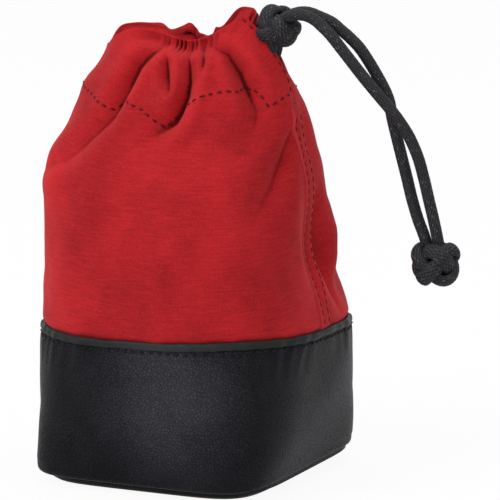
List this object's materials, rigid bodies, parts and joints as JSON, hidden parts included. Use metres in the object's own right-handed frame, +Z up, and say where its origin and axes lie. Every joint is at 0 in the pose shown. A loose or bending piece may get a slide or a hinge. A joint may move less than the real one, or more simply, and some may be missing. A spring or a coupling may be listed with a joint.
{
  "type": "lens pouch",
  "caption": "Drawstring lens pouch: woven fabric bag on a padded leather base, drawn shut by a braided cord with a sliding knot.",
  "frame": {"origin": "centre of the underside of the leather base", "axes": "+Z up along the pouch, +X towards the side seam where the cord comes out, -Y towards the front panel"},
  "size_m": [0.1456, 0.0962, 0.1613],
  "materials": {
    "leather": "soft grained black leather",
    "binding": "turned leather edge, smooth",
    "fabric": "matte red plain-woven nylon and cotton cloth",
    "cord": "black braided nylon cord",
    "foam": "closed-cell foam sheet",
    "board": "stiff plastic board",
    "lining": "brushed lining cloth"
  },
  "bodies": {
    "pouch": {"base_bottom": "leather", "leather_wall": "leather", "edge_binding": "binding", "bottom_board": "board", "bottom_foam": "foam", "wall_foam": "foam", "lining_floor": "lining", "lining_wall": "lining", "front_panel": "fabric", "back_panel": "fabric", "left_seam": "fabric", "right_seam": "fabric", "cord_front_strand": "cord", "cord_back_strand": "cord", "end_knot": "cord"},
    "front_mouth": {"front_casing": "fabric", "cord_front_run": "cord"},
    "back_mouth": {"back_casing": "fabric", "cord_back_run": "cord"},
    "slider": {"slider_knot": "cord"}
  },
  "joints": [
    {"name": "front_mouth_open", "type": "hinge", "parent": "pouch", "child": "front_mouth", "pos_m": [-0.0402, 0, 0.1283], "axis": [-0.5231, 0, -0.8522], "range_deg": [0, 14]},
    {"name": "back_mouth_open", "type": "hinge", "parent": "pouch", "child": "back_mouth", "pos_m": [-0.0402, 0, 0.1283], "axis": [0.5231, 0, 0.8522], "range_deg": [0, 14]},
    {"name": "slider_travel", "type": "hinge", "parent": "pouch", "child": "slider", "pos_m": [0.039, 0, 0.1481], "axis": [0, 1, 0], "range_deg": [0, 45]}
  ],
  "couplings": [
    {"joint": "back_mouth_open", "follows": "front_mouth_open", "ratio": 1}
  ]
}
